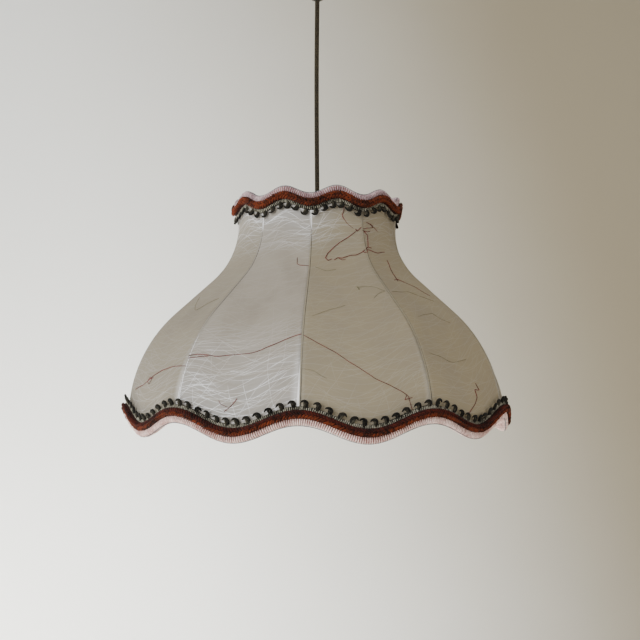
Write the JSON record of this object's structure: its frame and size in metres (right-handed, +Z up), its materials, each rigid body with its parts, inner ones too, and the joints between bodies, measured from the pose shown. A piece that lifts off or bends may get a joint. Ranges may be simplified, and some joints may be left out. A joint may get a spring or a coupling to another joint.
{
  "type": "pendant lamp",
  "caption": "Hanging lamp with a scalloped bell shade of fibre paper panels on a wire frame, yarn trims round both rims, a textile cord, a lampholder and a ceiling cup.",
  "frame": {"origin": "middle of the ceiling bracket's flat top face, where it meets the ceiling", "axes": "+Z up into the ceiling; +X to the right and -Y towards the front; the cord and the shade hang along -Z"},
  "size_m": [0.4124, 0.4164, 0.5298],
  "materials": {
    "bracket_steel": "zinc plated",
    "cup_brass": "aged, satin",
    "cup_brass_screws": "satin",
    "grip_plastic": "moulded, dark brown",
    "terminal_plastic": "moulded, off-white",
    "contact_brass": "bright",
    "screw_steel": "plain",
    "cord_textile": "braided, olive brown",
    "core_brown": "extruded",
    "core_blue": "extruded",
    "holder_bakelite": "moulded, dark brown",
    "holder_ceramic": "unglazed, off-white",
    "bulb_solder": "dull tin",
    "bulb_black": "vitrite glass, black",
    "bulb_cap_metal": "rolled",
    "bulb_glass": "clear",
    "stem_glass": "clear",
    "filament_wire": "drawn tungsten",
    "frame_wire": "white dipped coating",
    "fibre_paper": "translucent, long fibres",
    "yarn_pink": "crochet, pale pink",
    "yarn_rust": "braided, rust red",
    "yarn_grey": "picot crochet, grey melange"
  },
  "bodies": {
    "ceiling": {"ceiling_bracket": "bracket_steel", "ceiling_cup": "cup_brass", "cup_side_screws": "cup_brass_screws", "cup_cord_grip": "grip_plastic", "cup_grip_nut": "bracket_steel", "cup_lock_screw": "grip_plastic", "terminal_block": "terminal_plastic", "terminal_sleeves": "contact_brass", "terminal_screws": "screw_steel", "cord_clamped_end": "cord_textile", "core_live_ceiling": "core_brown", "core_neutral_ceiling": "core_blue"},
    "cord": {"cord": "cord_textile"},
    "lamp": {"holder_cord_grip": "grip_plastic", "holder_lock_screw": "grip_plastic", "holder_cap": "holder_bakelite", "holder_skirt": "holder_bakelite", "holder_insert": "holder_ceramic", "holder_terminals": "contact_brass", "holder_cores": "core_brown", "centre_contact": "contact_brass", "thread_shell": "contact_brass", "shade_ring_upper": "holder_bakelite", "shade_ring_lower": "holder_bakelite", "spider_hub": "frame_wire", "spider_arms": "frame_wire", "top_ring": "frame_wire", "bottom_ring": "frame_wire", "rib_01": "frame_wire", "rib_02": "frame_wire", "rib_03": "frame_wire", "rib_04": "frame_wire", "rib_05": "frame_wire", "rib_06": "frame_wire", "rib_07": "frame_wire", "rib_08": "frame_wire", "rib_09": "frame_wire", "rib_10": "frame_wire", "panel_01": "fibre_paper", "panel_02": "fibre_paper", "panel_03": "fibre_paper", "panel_04": "fibre_paper", "panel_05": "fibre_paper", "panel_06": "fibre_paper", "panel_07": "fibre_paper", "panel_08": "fibre_paper", "panel_09": "fibre_paper", "panel_10": "fibre_paper", "trim_top_edge": "yarn_pink", "trim_top_braid": "yarn_rust", "trim_top_picot": "yarn_grey", "trim_bottom_edge": "yarn_pink", "trim_bottom_braid": "yarn_rust", "trim_bottom_picot": "yarn_grey"},
    "bulb_tip": {"bulb_contact": "bulb_solder"},
    "bulb": {"bulb_insulator": "bulb_black", "bulb_cap": "bulb_cap_metal", "bulb_glass": "bulb_glass", "bulb_stem": "stem_glass", "bulb_filament": "filament_wire"}
  },
  "joints": [
    {"name": "swing", "type": "hinge", "parent": "ceiling", "child": "cord", "pos_m": [0, 0, -0.058], "axis": [0, 1, 0], "range_deg": [-20, 20]},
    {"name": "shade_turn", "type": "hinge", "parent": "cord", "child": "lamp", "pos_m": [0, 0, -0.29], "axis": [0, 0, 1], "range_deg": [-180, 180]},
    {"name": "bulb_travel", "type": "slide", "parent": "lamp", "child": "bulb_tip", "axis": [0, 0, -1], "range_m": [0, 0.01816]},
    {"name": "bulb_turn", "type": "hinge", "parent": "bulb_tip", "child": "bulb", "pos_m": [0, 0, -0.34], "axis": [0, 0, -1], "range_deg": [0, 1800]}
  ],
  "couplings": [
    {"joint": "bulb_travel", "follows": "bulb_turn", "m_per_rad": 0.00057757}
  ]
}
